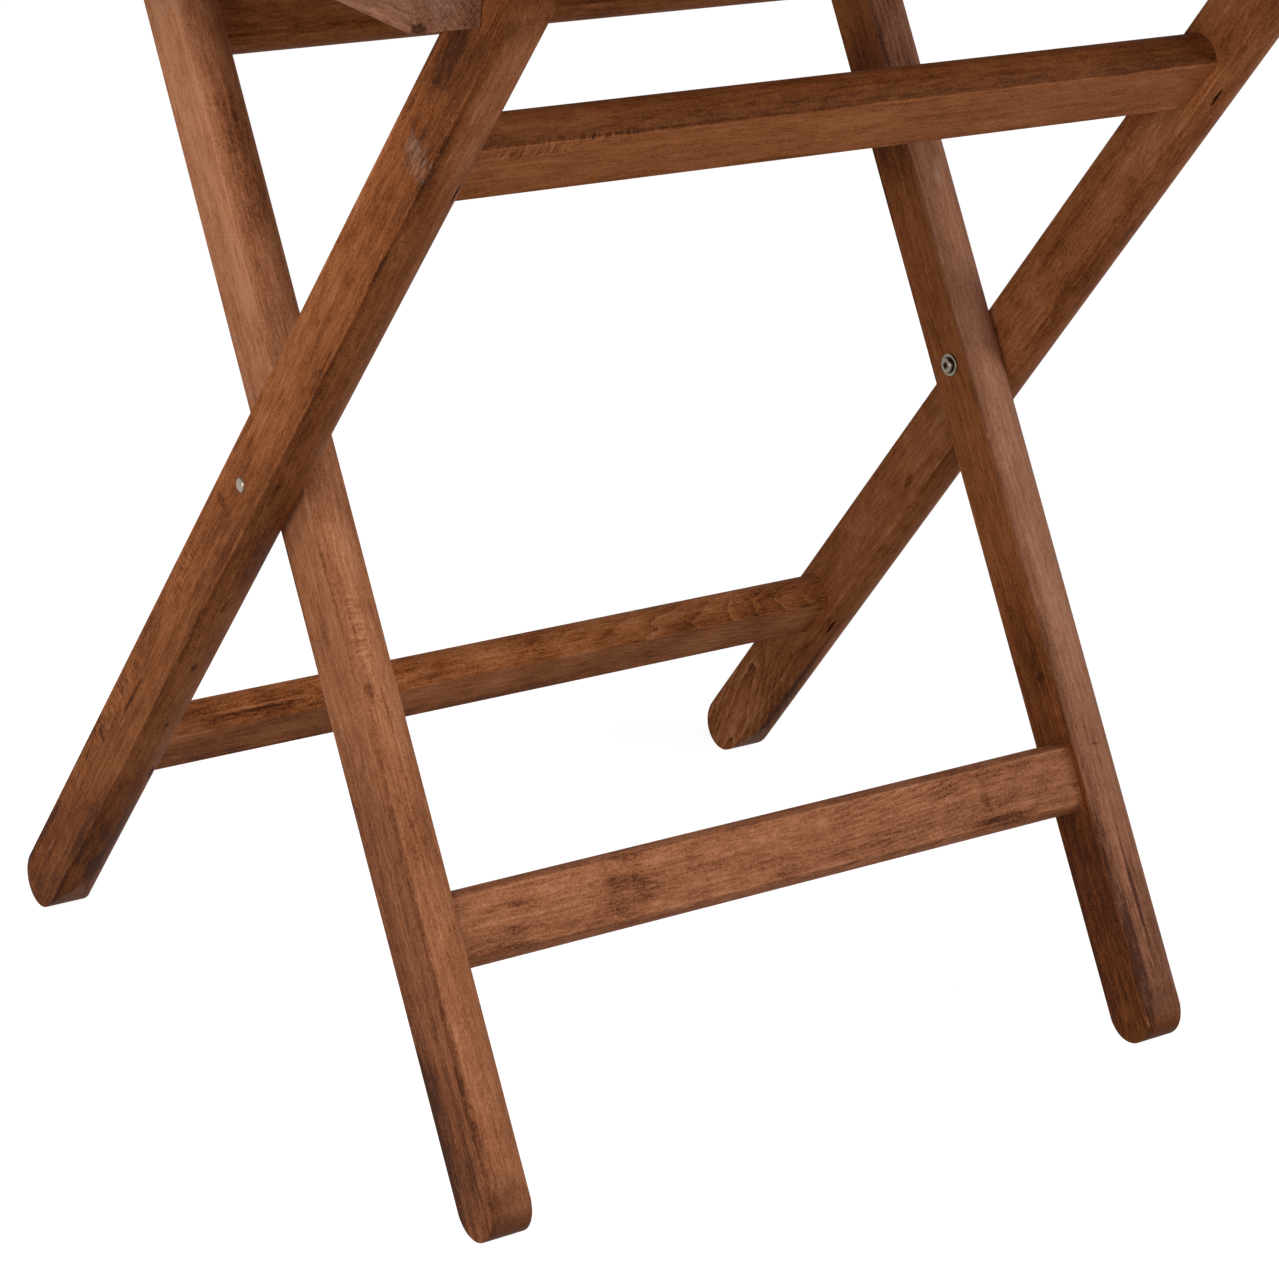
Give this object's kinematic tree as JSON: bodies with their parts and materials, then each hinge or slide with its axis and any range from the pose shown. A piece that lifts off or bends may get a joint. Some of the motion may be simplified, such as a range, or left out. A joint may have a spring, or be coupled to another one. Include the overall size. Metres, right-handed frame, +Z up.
{
  "type": "folding tray table",
  "caption": "Folding beech table: two crossed leg frames on a pivot carry a loose tray with finger-jointed corners, raised ends and hand slots.",
  "frame": {"origin": "on the floor under the middle of the table", "axes": "+Z up, X along the rails and the tray's length, Y across the crossing legs; the outer frame's feet stand at +Y"},
  "size_m": [0.62, 0.4442, 0.701],
  "materials": {
    "frame_beech": "walnut-brown stain under a thin satin lacquer",
    "tray_beech": "walnut-brown stain under a thin satin lacquer",
    "pivot_steel": "nickel plated",
    "staple_wire": "galvanised wire",
    "spacer": "plain moulded"
  },
  "bodies": {
    "outer_frame": {"outer_leg_left": "frame_beech", "outer_leg_right": "frame_beech", "outer_upper_rail": "frame_beech", "outer_lower_rail": "frame_beech", "outer_frame_staples": "staple_wire", "pivot_sleeve_left": "pivot_steel", "pivot_sleeve_right": "pivot_steel", "pivot_screw_left": "pivot_steel", "pivot_screw_right": "pivot_steel", "pivot_screw_washer_left": "pivot_steel", "pivot_screw_washer_right": "pivot_steel", "pivot_spacer_left": "spacer", "pivot_spacer_right": "spacer"},
    "inner_frame": {"inner_leg_left": "frame_beech", "inner_leg_right": "frame_beech", "inner_upper_rail": "frame_beech", "inner_lower_rail": "frame_beech", "inner_frame_staples": "staple_wire"},
    "tray": {"tray_base": "tray_beech", "tray_front_wall": "tray_beech", "tray_back_wall": "tray_beech", "tray_end_left": "tray_beech", "tray_end_right": "tray_beech", "runner_left": "tray_beech", "runner_right": "tray_beech", "runner_screws": "pivot_steel"}
  },
  "joints": [
    {"name": "tray_lift", "type": "slide", "parent": "outer_frame", "child": "tray", "axis": [0, 0, 1], "range_m": [0, 0.3]},
    {"name": "frame_fold", "type": "hinge", "parent": "outer_frame", "child": "inner_frame", "pos_m": [0, 0, 0.326], "axis": [1, 0, 0], "range_deg": [0, 58.5]}
  ],
  "couplings": [
    {"joint": "frame_fold", "follows": "tray_lift", "rad_per_m": 3.4}
  ]
}
